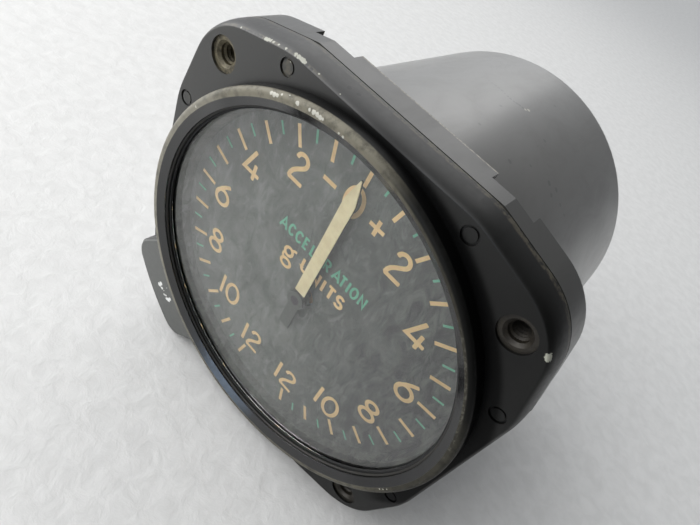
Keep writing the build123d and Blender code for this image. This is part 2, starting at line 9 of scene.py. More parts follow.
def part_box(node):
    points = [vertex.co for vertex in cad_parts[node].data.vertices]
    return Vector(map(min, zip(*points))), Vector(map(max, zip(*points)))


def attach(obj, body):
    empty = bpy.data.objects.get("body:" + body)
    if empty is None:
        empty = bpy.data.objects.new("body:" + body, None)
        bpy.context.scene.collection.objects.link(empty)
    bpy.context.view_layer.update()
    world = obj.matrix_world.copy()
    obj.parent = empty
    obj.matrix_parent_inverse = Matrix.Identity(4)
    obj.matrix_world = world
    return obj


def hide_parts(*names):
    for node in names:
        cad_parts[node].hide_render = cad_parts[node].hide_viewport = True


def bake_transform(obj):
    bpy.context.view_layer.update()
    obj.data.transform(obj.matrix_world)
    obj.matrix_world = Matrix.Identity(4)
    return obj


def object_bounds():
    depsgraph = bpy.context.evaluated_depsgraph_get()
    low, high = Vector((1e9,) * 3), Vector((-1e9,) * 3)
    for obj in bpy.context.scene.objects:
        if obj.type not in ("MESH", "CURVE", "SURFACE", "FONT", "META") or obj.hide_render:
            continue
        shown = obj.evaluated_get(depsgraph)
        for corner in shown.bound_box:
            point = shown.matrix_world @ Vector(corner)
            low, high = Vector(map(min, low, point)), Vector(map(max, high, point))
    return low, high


MM = 0.001
PAINT_T = 0.05

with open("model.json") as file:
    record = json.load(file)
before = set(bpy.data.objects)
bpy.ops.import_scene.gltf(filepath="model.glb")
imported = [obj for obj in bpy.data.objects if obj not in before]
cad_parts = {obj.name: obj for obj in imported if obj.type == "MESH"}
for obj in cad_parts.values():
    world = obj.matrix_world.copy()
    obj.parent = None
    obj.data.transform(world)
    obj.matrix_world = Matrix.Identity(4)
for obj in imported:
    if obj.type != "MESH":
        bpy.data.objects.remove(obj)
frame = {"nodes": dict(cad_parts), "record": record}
cad_box = [list(corner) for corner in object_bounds()]
nodes = frame["nodes"]
paint_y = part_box("dial")[0].y / MM - PAINT_T


# Node helpers for the materials and the world

class Nodes:
    """A node tree whose nodes are added one by one."""

    def __init__(self, tree, coordinate):
        self.tree = tree
        self.place = tree.nodes.new("ShaderNodeTexCoord").outputs[coordinate]
        self.split = None

    def set(self, socket, value):
        if isinstance(value, bpy.types.NodeSocket):
            self.tree.links.new(value, socket)
        else:
            socket.default_value = value

    def maths(self, operation, a, b=0.0):
        made = self.tree.nodes.new("ShaderNodeMath")
        made.operation = operation
        for socket, value in zip(made.inputs, (a, b)):
            self.set(socket, value)
        return made.outputs[0]

    def axis(self, index):
        """Coordinate along X, Y or Z."""
        if self.split is None:
            self.split = self.tree.nodes.new("ShaderNodeSeparateXYZ")
            self.tree.links.new(self.place, self.split.inputs[0])
        return self.split.outputs[index]

    def ramp(self, value, low, high, start=0.0, end=1.0):
        """Smooth step of value between low and high."""
        made = self.tree.nodes.new("ShaderNodeMapRange")
        made.interpolation_type = "SMOOTHSTEP"
        self.set(made.inputs["Value"], value)
        made.inputs["From Min"].default_value = low
        made.inputs["From Max"].default_value = high
        made.inputs["To Min"].default_value = start
        made.inputs["To Max"].default_value = end
        return made.outputs["Result"]

    def band(self, value, low, high, soft):
        """1 between low and high, falling to 0 over soft outside."""
        up = self.ramp(value, low - soft, low)
        down = self.ramp(value, high, high + soft, 1.0, 0.0)
        return self.maths("MULTIPLY", up, down)

    def mix(self, factor, a, b):
        """Colour a where factor is 0 and b where it is 1."""
        made = self.tree.nodes.new("ShaderNodeMix")
        made.data_type = "RGBA"
        self.set(made.inputs[0], factor)
        self.set(made.inputs[6], a if isinstance(a, bpy.types.NodeSocket) else (*a, 1))
        self.set(made.inputs[7], b if isinstance(b, bpy.types.NodeSocket) else (*b, 1))
        return made.outputs[2]


class Paint(Nodes):
    """A material laid out in the object's own millimetres."""

    def __init__(self, name):
        self.material = bpy.data.materials.new(name)
        self.material.use_nodes = True
        super().__init__(self.material.node_tree, "Object")
        self.shader = self.tree.nodes["Principled BSDF"]

    def xyz(self, index):
        """Coordinate along X, Y or Z in millimetres."""
        return self.maths("MULTIPLY", self.axis(index), 1.0 / MM)

    def radius(self):
        """Distance from the dial axis in millimetres."""
        x = self.xyz(0)
        z = self.xyz(2)
        squares = self.maths("ADD", self.maths("MULTIPLY", x, x), self.maths("MULTIPLY", z, z))
        return self.maths("SQRT", squares)

    def noise(self, scale, detail, rough, stretch=(1, 1, 1), twist=0.0, shift=0.0):
        """Noise with scale in grains per millimetre."""
        mapping = self.tree.nodes.new("ShaderNodeMapping")
        self.tree.links.new(self.place, mapping.inputs["Vector"])
        mapping.inputs["Scale"].default_value = [share / MM for share in stretch]
        mapping.inputs["Location"].default_value = (shift, shift * 0.7, shift * 1.3)
        made = self.tree.nodes.new("ShaderNodeTexNoise")
        self.tree.links.new(mapping.outputs[0], made.inputs["Vector"])
        made.inputs["Scale"].default_value = scale
        made.inputs["Detail"].default_value = detail
        made.inputs["Roughness"].default_value = rough
        made.inputs["Distortion"].default_value = twist
        return made.outputs[0]

    def far(self, x, y, z):
        """Distance from a point in millimetres."""
        made = self.tree.nodes.new("ShaderNodeVectorMath")
        made.operation = "DISTANCE"
        self.tree.links.new(self.place, made.inputs[0])
        made.inputs[1].default_value = (x * MM, y * MM, z * MM)
        return self.maths("MULTIPLY", made.outputs["Value"], 1.0 / MM)

    def spots(self, points, ragged):
        """Ragged chips at (x, y, z, radius) points in millimetres."""
        rough = self.maths("SUBTRACT", self.noise(1.3, 4, 0.75, shift=3.7), 0.5)
        rough = self.maths("MULTIPLY", rough, ragged)
        total = None
        for x, y, z, radius in points:
            reach = self.maths("ADD", self.far(x, y, z), self.maths("MULTIPLY", rough, radius))
            one = self.ramp(reach, radius * 0.8, radius, 1.0, 0.0)
            total = one if total is None else self.maths("MAXIMUM", total, one)
        return total

    def clock(self):
        """Clock angle about the dial axis in degrees, from -180 to 180."""
        return self.maths("DEGREES", self.maths("ARCTAN2", self.xyz(0), self.xyz(2)))

    def bump(self, height, strength, distance):
        """Raise the surface by height, with distance in millimetres."""
        made = self.tree.nodes.new("ShaderNodeBump")
        made.inputs["Strength"].default_value = strength
        made.inputs["Distance"].default_value = distance * MM
        self.set(made.inputs["Height"], height)
        self.tree.links.new(made.outputs[0], self.shader.inputs["Normal"])

    def out(self, **inputs):
        """Set or link the shader's inputs, named with _ for a space."""
        for key, value in inputs.items():
            if isinstance(value, tuple):
                value = (*value, 1)
            self.set(self.shader.inputs[key.replace("_", " ")], value)
        return self.material


def plain_metal(name, colour, dark, rough):
    """Turned or milled metal with faint grain and stains."""
    p = Paint(name)
    stain = p.noise(0.25, 5, 0.6)
    fine = p.noise(2.0, 3, 0.6)
    tone = p.maths("ADD", p.maths("MULTIPLY", stain, 0.7), p.maths("MULTIPLY", fine, 0.3))
    p.bump(fine, 0.12, 0.02)
    roughness = p.ramp(fine, 0.3, 0.7, rough - 0.06, rough + 0.1)
    base = p.mix(p.ramp(tone, 0.35, 0.65), dark, colour)
    return p.out(Base_Color=base, Metallic=1.0, Roughness=roughness)


def matt(name, colour, dark, rough):
    """Matt paint, rubber or plastic with a mottled tone."""
    p = Paint(name)
    tone = p.noise(0.6, 6, 0.6)
    fine = p.noise(6.0, 2, 0.5)
    p.bump(fine, 0.15, 0.03)
    base = p.mix(p.ramp(tone, 0.35, 0.65), dark, colour)
    return p.out(Base_Color=base, Roughness=p.ramp(tone, 0.3, 0.7, rough, rough + 0.12))


# Black casting of the front frame: rubbed bezel rim, chipped and nicked edges.
# Chips, scuffs and specks are (x, y, z, radius) in millimetres.
SLOPE_R = (36.3, 37.85)
RIM_R = (37.95, 39.35)
# slant range from painted light at the upper left to painted shade at the lower right of the flange
PAINTED_LIGHT_TO_SHADE = (-50.0, 22.0)
# Chips on the rim; the three points from (35.3, -3.1, -14.4) to (36.1, -3.1, -12.6) are a painted highlight
# streak on its inner edge
RIM_CHIPS_AND_HIGHLIGHT = [
    (-17.2, -3.1, 34.9, 0.36), (-16.6, -3.1, 35.1, 0.42), (-16.0, -3.1, 35.3, 0.34),
    (-15.3, -2.9, 35.9, 0.22), (-14.2, -2.8, 36.7, 0.2), (-12.2, -3.1, 36.8, 0.4),
    (-9.8, -3.1, 37.4, 0.3), (-9.0, -3.1, 37.6, 0.42), (-8.3, -3.1, 37.7, 0.42),
    (-7.7, -3.1, 37.7, 0.36), (-7.2, -3.1, 37.8, 0.26), (-3.9, -3.1, 37.9, 0.22),
    (-3.1, -3.1, 37.9, 0.18), (-31.7, -3.0, 21.6, 0.26), (-30.4, -2.9, 23.6, 0.22),
    (-26.5, -2.9, 27.6, 0.2), (35.3, -3.1, -14.4, 0.15), (35.7, -3.1, -13.6, 0.18),
    (36.1, -3.1, -12.6, 0.15), (37.9, -2.9, -0.3, 0.16),
]
EDGE_CHIPS = [
    (-24.0, 0.25, 38.95, 0.36), (-23.5, 0.25, 39.15, 0.42), (-23.0, 0.25, 39.3, 0.34),
    (-22.4, 0.25, 39.5, 0.24), (-21.3, 0.25, 39.75, 0.2), (-19.8, 0.25, 40.1, 0.2),
    (-17.8, 0.3, 40.4, 0.36), (-17.2, 0.3, 40.45, 0.42), (-16.7, 0.3, 40.5, 0.38),
    (-16.2, 0.3, 40.5, 0.42), (-15.8, 0.3, 40.45, 0.28), (-18.1, 0.0, 39.1, 0.22),
    (-29.2, 0.2, 37.5, 0.2), (36.3, 0.0, 32.4, 0.75), (-12.9, 0.4, 40.5, 0.18),
    (-8.3, 0.3, 40.4, 0.16),
]
EDGE_NICKS = [
    (-28.3, 0.1, 37.65, 0.32), (-27.6, 0.1, 37.9, 0.32), (-26.9, 0.1, 38.1, 0.34), (-26.2, 0.1, 38.3, 0.34),
    (-25.5, 0.1, 38.5, 0.32), (-24.9, 0.1, 38.7, 0.3), (-15.2, 0.2, 40.3, 0.3), (-14.3, 0.2, 40.3, 0.34),
    (-8.5, 2.2, 41.1, 0.42), (-6.8, 2.4, 41.1, 0.36), (38.1, 0.0, -19.4, 0.5), (37.5, 0.0, -20.1, 0.35),
]
PAD_SCUFFS = [
    (-32.1, -2.5, -30.3, 0.62), (-31.6, -2.5, -29.5, 0.6), (-31.0, -2.5, -30.6, 0.42),
    (-30.2, -2.5, -30.7, 0.2), (-29.8, -2.5, -31.8, 0.34), (-29.2, -2.5, -31.5, 0.3),
    (-28.7, -2.5, -32.2, 0.45), (-28.1, -2.5, -31.9, 0.66), (-27.7, -2.5, -31.1, 0.5),
    (-29.5, -2.5, -28.8, 0.14),
]


def casting():
    p = Paint("black_casting")
    x = p.xyz(0)
    y = p.xyz(1)
    r = p.radius()
    clock = p.clock()
    broad = p.noise(0.05, 5, 0.6)
    fine = p.noise(1.1, 6, 0.65)
    # lighter at the upper left, deep black at the lower right: painted light and shade, with dust flecks on
    # the lighter side
    slant = p.maths("SUBTRACT", x, p.maths("MULTIPLY", p.xyz(2), 0.45))
    dust_and_painted_light = p.ramp(slant, *PAINTED_LIGHT_TO_SHADE, 1.0, 0.0)
    base = p.mix(p.ramp(broad, 0.35, 0.65), (0.0045, 0.0045, 0.0042), (0.0065, 0.0065, 0.0061))
    base = p.mix(dust_and_painted_light, base, (0.017, 0.017, 0.0158))
    base = p.mix(p.maths("MULTIPLY", p.ramp(fine, 0.55, 0.8, 0.0, 0.35), dust_and_painted_light), base, (0.036, 0.035, 0.032))
    # dusty pad, then the slope inside the rim
    on_pad = p.maths("MULTIPLY", p.ramp(r, 39.6, 39.9), p.ramp(y, -2.3, -1.9, 1.0, 0.0))
    base = p.mix(p.maths("MULTIPLY", on_pad, 0.85), base, (0.088, 0.091, 0.086))
    slope = p.maths("MULTIPLY", p.band(r, *SLOPE_R, 0.1), p.ramp(y, -2.0, -1.8, 1.0, 0.0))
    base = p.mix(slope, base, (0.004, 0.004, 0.0045))
    # painted shade at the foot of the bezel, widest at the right
    lean = p.maths("SUBTRACT", r, p.maths("MULTIPLY", p.maths("MAXIMUM", clock, -30.0), 0.03))
    painted_foot_shade = p.maths("MULTIPLY", p.ramp(lean, 39.5, 41.3, 1.0, 0.0), p.band(clock, -40.0, 118.0, 12.0))
    base = p.mix(p.maths("MULTIPLY", painted_foot_shade, p.ramp(y, -2.4, -2.2)), base, (0.002, 0.002, 0.002))
    # rubbed rim of the bezel; painted light makes it palest at the left, painted shade dulls and narrows it
    # at the right
    side = p.band(clock, 32.0, 100.0, 26.0)
    rim = p.maths("MULTIPLY", p.band(r, *RIM_R, 0.16), p.ramp(y, -2.35, -2.05, 1.0, 0.0))
    painted_shade_outer_rim = p.maths("MULTIPLY", p.band(clock, 18.0, 62.0, 16.0), p.ramp(r, 38.15, 38.6))
    rim = p.maths("MULTIPLY", rim, p.maths("SUBTRACT", 1.0, painted_shade_outer_rim))
    left = p.maths("ADD", p.ramp(clock, -175.0, -120.0), p.ramp(clock, -10.0, 25.0, 0.0, -1.0))
    breakup = p.ramp(p.noise(0.5, 6, 0.7, shift=7.0), 0.34, 0.56)
    rub_and_painted_light = p.maths("MULTIPLY", rim, p.maths("ADD", p.maths("MULTIPLY", left, 0.4), 0.4))
    rub_and_painted_light = p.maths("MULTIPLY", rub_and_painted_light, p.maths("ADD", p.maths("MULTIPLY", breakup, 0.5), 0.45))
    rub_and_painted_light = p.maths("MULTIPLY", rub_and_painted_light, p.maths("SUBTRACT", 1.0, p.maths("MULTIPLY", side, 0.6)))
    base = p.mix(rub_and_painted_light, base, (0.205, 0.19, 0.145))
    flecks = p.maths("MULTIPLY", p.band(r, 37.95, 38.3, 0.1), p.band(clock, 46.0, 76.0, 8.0))
    flecks = p.maths("MULTIPLY", flecks, p.ramp(p.noise(1.5, 4, 0.7, shift=23.0), 0.52, 0.6))
    base = p.mix(p.maths("MULTIPLY", flecks, 0.14), base, (0.34, 0.33, 0.28))
    # worn line where the flange's face turns into its side
    edge = p.maths("MULTIPLY", p.band(y, 0.12, 0.4, 0.12), p.ramp(r, 40.3, 40.6))
    edge = p.maths("MULTIPLY", edge, p.band(x, -34.0, -14.0, 6.0))
    wear = p.ramp(p.noise(0.5, 6, 0.7, shift=17.0), 0.42, 0.62)
    base = p.mix(p.maths("MULTIPLY", p.maths("MULTIPLY", edge, wear), 0.6), base, (0.085, 0.075, 0.05))
    # lighter band along the seam of the two layers: a painted highlight on the ridge
    painted_seam_highlight = p.maths("MULTIPLY", p.band(y, 4.6, 5.4, 0.4), 0.5)
    base = p.mix(p.maths("MULTIPLY", painted_seam_highlight, p.ramp(fine, 0.4, 0.6)), base, (0.10, 0.088, 0.062))
    base = p.mix(p.spots(EDGE_NICKS, 1.0), base, (0.004, 0.004, 0.004))
    base = p.mix(p.spots(EDGE_CHIPS, 1.9), base, (0.30, 0.30, 0.25))
    base = p.mix(p.spots(RIM_CHIPS_AND_HIGHLIGHT, 1.9), base, (0.42, 0.41, 0.36))
    base = p.mix(p.spots(PAD_SCUFFS, 1.5), base, (0.62, 0.62, 0.60))
    p.bump(fine, 0.2, 0.02)
    # gloss falls from the upper left to the lower right and at the painted shade of the bezel's foot, and is
    # highest on the slope inside the rim
    rough = p.maths("SUBTRACT", p.ramp(fine, 0.3, 0.7, 0.36, 0.44), p.maths("MULTIPLY", slope, 0.29))
    gloss = p.maths("MULTIPLY", p.ramp(slant, *PAINTED_LIGHT_TO_SHADE, 0.62, 0.2), p.ramp(painted_foot_shade, 0.0, 1.0, 1.0, 0.3))
    gloss = p.maths("ADD", gloss, p.maths("MULTIPLY", slope, 0.4))
    return p.out(Base_Color=base, Roughness=rough, Specular_IOR_Level=gloss)


# Satin dark grey paint of the case: smudges, specks, a fine scratch
CASE_SPECKS = [
    (11.2, 42.4, 36.3, 0.45), (5.8, 57.2, 37.6, 0.45), (11.3, 26.3, 36.3, 0.5), (17.7, 35.6, 33.6, 0.6),
    (19.3, 37.2, 32.7, 0.5), (19.4, 34.6, 32.6, 0.5), (13.6, 32.0, 35.5, 0.35), (3.3, 26.3, 37.9, 0.4),
    (1.4, 38.0, 38.0, 0.4), (21.7, 36.8, 31.2, 0.4), (23.4, 37.4, 29.9, 0.35),
]
SCRATCH = [
    (-5.7, 45.1, 37.6, 0.32), (-4.7, 44.9, 37.7, 0.30), (-3.8, 44.7, 37.8, 0.36), (-2.9, 44.5, 37.9, 0.32),
    (-2.0, 44.3, 37.9, 0.36), (-1.1, 44.0, 38.0, 0.28), (-0.2, 43.7, 38.0, 0.32), (0.6, 43.7, 38.0, 0.34),
    (1.4, 43.7, 38.0, 0.32), (2.1, 44.0, 37.9, 0.42), (2.7, 44.2, 37.9, 0.42), (3.4, 44.4, 37.8, 0.36),
]
SCRATCH_END = [(4.3, 45.6, 37.7, 0.42), (4.0, 44.7, 37.7, 0.3)]
LAYER_END = (11.3, 11.9)
side_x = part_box("case")[1].x / MM


def case_paint():
    p = Paint("case_paint")
    y = p.xyz(1)
    broad = p.noise(0.035, 5, 0.6)
    smear = p.noise(0.16, 7, 0.7, stretch=(1, 0.45, 1), twist=0.6, shift=5.0)
    fine = p.noise(1.6, 5, 0.6)
    base = p.mix(p.ramp(broad, 0.3, 0.7), (0.056, 0.054, 0.048), (0.073, 0.071, 0.064))
    base = p.mix(p.ramp(smear, 0.5, 0.74, 0.0, 0.5), base, (0.044, 0.041, 0.033))
    # darker flange layer
    layer = p.ramp(y, *LAYER_END, 1.0, 0.0)
    base = p.mix(p.maths("MULTIPLY", layer, 0.8), base, (0.020, 0.020, 0.018))
    across = p.maths("MAXIMUM", p.maths("ABSOLUTE", p.xyz(0)), p.maths("ABSOLUTE", p.xyz(2)))
    at_side = p.ramp(across, side_x - 0.275, side_x - 0.125)
    rear_edge = p.maths("MULTIPLY", p.band(y, 11.15, 11.5, 0.12), at_side)
    base = p.mix(p.maths("MULTIPLY", rear_edge, p.ramp(fine, 0.35, 0.6)), base, (0.20, 0.18, 0.14))
    rear_rim = p.maths("MULTIPLY", p.band(y, 72.7, 73.2, 0.4), p.ramp(smear, 0.35, 0.6))
    base = p.mix(p.maths("MULTIPLY", rear_rim, 0.4), base, (0.30, 0.27, 0.20))
    specks = p.ramp(p.noise(0.55, 3, 0.8, shift=9.0), 0.66, 0.72)
    patch = p.ramp(p.noise(0.05, 3, 0.5, shift=2.0), 0.46, 0.6)
    base = p.mix(p.maths("MULTIPLY", p.maths("MULTIPLY", specks, patch), 0.7), base, (0.012, 0.0115, 0.0095))
    base = p.mix(p.maths("MULTIPLY", p.spots(CASE_SPECKS, 1.9), 0.85), base, (0.010, 0.0095, 0.008))
    base = p.mix(p.maths("MULTIPLY", p.spots(SCRATCH, 1.2), 0.9), base, (0.008, 0.0075, 0.0065))
    base = p.mix(p.spots(SCRATCH_END, 1.2), base, (0.34, 0.32, 0.26))
    p.bump(fine, 0.15, 0.02)
    rough = p.ramp(smear, 0.35, 0.7, 0.3, 0.4)
    coat = p.ramp(y, *LAYER_END, 0.1, 0.9)
    return p.out(Base_Color=base, Roughness=rough, Specular_IOR_Level=0.7,
                 Coat_Weight=coat, Coat_Roughness=0.34)


# Grey-green dial: soft mottling and dust, darker towards the right, partly painted shade and partly darker
# paint
SMUDGE = [(-2.6, 4.35, -12.0, 0.9)]


def dial_paint():
    p = Paint("dial_grey")
    cloud = p.noise(0.13, 8, 0.66, twist=0.7)
    fibre = p.noise(0.42, 7, 0.72, stretch=(1, 1, 0.4), twist=1.2, shift=4.0)
    grain = p.noise(2.6, 4, 0.65)
    base = p.mix(p.ramp(cloud, 0.36, 0.64), (0.100, 0.107, 0.097), (0.178, 0.188, 0.170))
    base = p.mix(p.ramp(fibre, 0.50, 0.68, 0.0, 0.65), base, (0.26, 0.275, 0.25))
    base = p.mix(p.ramp(fibre, 0.46, 0.34, 0.0, 0.65), base, (0.070, 0.076, 0.068))
    base = p.mix(p.ramp(grain, 0.6, 0.8, 0.0, 0.35), base, (0.26, 0.27, 0.255))
    # darker towards the right: partly painted shade, partly darker paint
    shade = p.ramp(p.maths("ADD", p.xyz(0), p.maths("MULTIPLY", cloud, 16.0)), 4.0, 40.0, 0.0, 0.88)
    shade_and_darker_paint = p.mix(p.ramp(fibre, 0.38, 0.62), (0.024, 0.026, 0.025), (0.098, 0.101, 0.092))
    base = p.mix(shade, base, shade_and_darker_paint)
    base = p.mix(p.maths("MULTIPLY", p.spots(SMUDGE, 1.6), 0.35), base, (0.06, 0.062, 0.056))
    p.bump(grain, 0.2, 0.02)
    return p.out(Base_Color=base, Roughness=0.75, Specular_IOR_Level=0.3)


def lume(name, colour, dark):
    """Aged luminous paint, darker towards the right as painted shade."""
    p = Paint(name)
    tone = p.noise(0.5, 5, 0.6)
    grain = p.noise(4.0, 3, 0.6)
    base = p.mix(p.ramp(tone, 0.35, 0.65), dark, colour)
    base = p.mix(p.ramp(grain, 0.6, 0.75, 0.0, 0.35), base, [c * 0.7 for c in dark])
    # painted shade: darker towards the right
    base = p.mix(p.ramp(p.xyz(0), 4.0, 30.0, 0.0, 0.4), base, [c * 0.5 for c in dark])
    p.bump(grain, 0.3, 0.02)
    return p.out(Base_Color=base, Roughness=0.7, Specular_IOR_Level=0.25)


def insert_metal():
    """Old brass of the threaded inserts, almost black at the right."""
    p = Paint("insert_brass")
    tone = p.noise(0.9, 6, 0.7)
    fine = p.noise(3.0, 4, 0.6)
    base = p.mix(p.ramp(tone, 0.3, 0.7), (0.05, 0.042, 0.026), (0.155, 0.135, 0.085))
    base = p.mix(p.ramp(fine, 0.5, 0.7, 0.0, 0.7), base, (0.025, 0.021, 0.014))
    # darker towards the right
    darker_right = p.ramp(p.xyz(0), -10.0, 10.0, 0.0, 0.9)
    base = p.mix(darker_right, base, (0.009, 0.007, 0.0055))
    p.bump(fine, 0.3, 0.03)
    return p.out(Base_Color=base, Metallic=0.35, Roughness=p.ramp(tone, 0.3, 0.7, 0.6, 0.46))


def ring_metal():
    """Thin dark wire, paler along its lower side at the inner front edge: a painted highlight."""
    p = Paint("ring_wire")
    tone = p.noise(0.35, 5, 0.7)
    # painted highlight along the lower side, on the wire's inner front edge
    side = p.ramp(p.xyz(2), 6.0, -14.0)
    painted_highlight = p.maths("MULTIPLY", side, p.ramp(tone, 0.3, 0.55))
    painted_highlight = p.maths("MULTIPLY", painted_highlight, p.band(p.radius(), 35.9, 35.97, 0.06))
    base = p.mix(painted_highlight, (0.016, 0.015, 0.013), (0.17, 0.15, 0.10))
    return p.out(Base_Color=base, Metallic=0.3, Roughness=0.5)


def clear_glass():
    """Glass with a faint haze."""
    p = Paint("clear_glass")
    haze = p.noise(0.12, 5, 0.6, twist=0.4)
    rough = p.ramp(haze, 0.35, 0.7, 0.0, 0.03)
    return p.out(Base_Color=(1.0, 1.0, 1.0), Roughness=rough, Transmission_Weight=1.0, IOR=1.5)


def pointer_black():
    """Faded black of the pointer's arm."""
    p = Paint("pointer_black")
    tone = p.noise(0.8, 4, 0.6)
    base = p.mix(tone, (0.088, 0.092, 0.084), (0.118, 0.124, 0.114))
    return p.out(Base_Color=base, Roughness=0.7, Specular_IOR_Level=0.25)


CREAM = lume("cream_lume", (0.90, 0.66, 0.33), (0.80, 0.57, 0.27))
GREEN = lume("green_lume", (0.19, 0.52, 0.34), (0.14, 0.43, 0.27))
BLADE = lume("blade_lume", (0.88, 0.78, 0.48), (0.80, 0.69, 0.40))
BRASS = insert_metal()
SPRING = plain_metal("spring_steel", (0.38, 0.39, 0.42), (0.24, 0.25, 0.27), 0.3)
DARK = plain_metal("dark_steel", (0.09, 0.09, 0.085), (0.04, 0.04, 0.04), 0.5)

by_slot = {
    "black_casting": casting(),
    "case_paint": case_paint(),
    "insert_brass": BRASS,
    "seal_rubber": matt("seal_rubber", (0.012, 0.012, 0.012), (0.006, 0.006, 0.006), 0.7),
    "screw_steel": matt("screw_steel", (0.020, 0.0195, 0.018), (0.012, 0.012, 0.011), 0.42),
    "ring_wire": ring_metal(),
    "clear_glass": clear_glass(),
    "dial_grey": dial_paint(),
    "cream_lume": CREAM,
    "green_lume": GREEN,
    "pointer_black": pointer_black(),
    "plate_aluminium": plain_metal("plate_aluminium", (0.58, 0.59, 0.60), (0.44, 0.45, 0.46), 0.38),
    "part_brass": plain_metal("part_brass", (0.62, 0.46, 0.20), (0.44, 0.31, 0.13), 0.32),
    "part_steel": plain_metal("part_steel", (0.56, 0.57, 0.58), (0.38, 0.39, 0.40), 0.3),
    "spring_steel": SPRING,
    "stop_nylon": matt("stop_nylon", (0.66, 0.64, 0.54), (0.56, 0.53, 0.44), 0.45),
    "bush_bronze": plain_metal("bush_bronze", (0.52, 0.34, 0.16), (0.36, 0.22, 0.10), 0.35),
}
for part in frame["record"]["subparts"]:
    thing = nodes[part["node"]]
    thing.data.materials.clear()
    thing.data.materials.append(by_slot[part["material_slot"]])
nodes["pointer_paint"].data.materials[0] = BLADE
nodes["staff"].data.materials[0] = DARK


# Painted strokes of even width on the dial

def arc(cx, cz, rx, rz, start, end, steps):
    """Points on an ellipse; angles run clockwise from 12 o'clock in degrees."""
    points = []
    for k in range(steps + 1):
        a = radians(start + (end - start) * k / steps)
        points.append((cx + rx * sin(a), cz + rz * cos(a)))
    return points


def round_end(tip, way, half):
    """Points of a stroke's blunt round end, from its left side to its right."""
    ahead = way.normalized()
    side = Vector((-ahead.y, ahead.x))
    points = []
    for k in range(1, 6):
        a = pi * k / 6
        points.append(tip + side * half * cos(a) + ahead * half * 0.45 * sin(a))
    return points


def ribbon(bm, points, width, y, lift=0.0, capped=True):
    """Flat stroke through the points, with round ends, standing lift mm proud of depth y."""
    closed = (Vector(points[0]) - Vector(points[-1])).length < 1e-6
    line = [Vector(p) for p in (points[:-1] if closed else points)]
    count = len(line)
    half = width / 2
    left = []
    right = []
    for k, here in enumerate(line):
        before = line[k - 1] if closed or k > 0 else None
        after = line[(k + 1) % count] if closed or k < count - 1 else None
        a = (here - before).normalized() if before is not None else (after - here).normalized()
        b = (after - here).normalized() if after is not None else a
        across = Vector((-(a.y + b.y), a.x + b.x))
        across = across.normalized() if across.length > 1e-6 else Vector((-a.y, a.x))
        reach = half / max(0.45, across.dot(Vector((-a.y, a.x))))
        left.append(here + across * reach)
        right.append(here - across * reach)

    def verts(points):
        return [bm.verts.new((point.x * MM, (y - lift) * MM, point.y * MM)) for point in points]

    a = verts(left)
    b = verts(right)
    for k in range(count if closed else count - 1):
        bm.faces.new((a[k], a[(k + 1) % count], b[(k + 1) % count], b[k]))
    if capped and not closed:
        nose = round_end(line[-1], line[-1] - line[-2], half)
        tail = round_end(line[0], line[0] - line[1], half)
        bm.faces.new([a[-1]] + verts(nose) + [b[-1]])
        bm.faces.new([b[0]] + verts(tail) + [a[0]])


def finish_mesh(name, bm, material, body):
    """Object from the mesh, riding on body; a piece that bends between bodies names none."""
    mesh = bpy.data.meshes.new(name)
    bmesh.ops.recalc_face_normals(bm, faces=bm.faces[:])
    bm.to_mesh(mesh)
    bm.free()
    made = bpy.data.objects.new(name, mesh)
    bpy.context.scene.collection.objects.link(made)
    mesh.materials.append(material)
    if body:
        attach(made, body)
    return made


GLYPHS = {
    "2": [arc(0.25, 1.55, 1.25, 1.25, -82, 125, 16)
          + [(0.95, 0.48), (0.35, -0.02), (-0.35, -0.6), (-0.95, -1.25), (-1.3, -2.0), (-1.42, -2.75)],
          [(-1.45, -2.77), (1.75, -2.77)]],
    "4": [[(0.05, 2.85), (-1.9, -1.63), (2.0, -1.63)], [(0.8, 0.25), (0.8, -2.9)]],
    "6": [arc(0, -0.68, 1.74, 1.74, 0, 360, 28),
          [(1.4, 2.95), (0.45, 2.3), (-0.55, 1.4), (-1.3, 0.4), (-1.7, -0.5)]],
    "8": [arc(0.05, 1.7, 1.38, 1.2, 0, 360, 24), arc(0.05, -1.2, 1.72, 1.38, 0, 360, 28)],
    "1": [[(0, 2.75), (0, -2.75)]],
    "0": [arc(0, 0, 1.78, 2.8, 0, 360, 32)],
}
STROKE = 0.85
LIFT = 0.004


def glyph(bm, sign, x, z):
    """One numeral centred at x, z; strokes that cross stand a little above each other."""
    for k, stroke in enumerate(GLYPHS[sign]):
        points = [(x + px, z + pz) for px, pz in stroke]
        ribbon(bm, points, STROKE, paint_y, LIFT * k)


NUMERALS = [
    ("2", -12.0, 22.5), ("4", -21.3, 15.2), ("6", -26.1, 3.1), ("8", -24.2, -9.0),
    ("1", -18.73, -18.0), ("0", -15.4, -18.05), ("1", -8.57, -24.1), ("2", -5.5, -24.1),
    ("2", 12.05, 22.3), ("4", 21.4, 14.9), ("6", 26.05, 2.75), ("8", 23.8, -9.6),
    ("1", 13.95, -18.65), ("0", 17.45, -18.7), ("1", 3.24, -24.2), ("2", 6.4, -24.2),
    ("0", 0.0, 25.4),
]


def scale_numerals():
    bm = bmesh.new()
    for sign, x, z in NUMERALS:
        glyph(bm, sign, x, z)
    finish_mesh("scale_numerals", bm, CREAM, "housing")


def scale_signs():
    """Minus at the left of the zero, plus at its right."""
    bm = bmesh.new()
    ribbon(bm, [(-7.0, 25.0), (-4.0, 25.0)], 0.86, paint_y, capped=False)
    ribbon(bm, [(4.05, 24.85), (7.25, 24.85)], 0.8, paint_y, capped=False)
    ribbon(bm, [(5.65, 26.45), (5.65, 23.25)], 0.8, paint_y, LIFT, capped=False)
    finish_mesh("scale_signs", bm, CREAM, "housing")


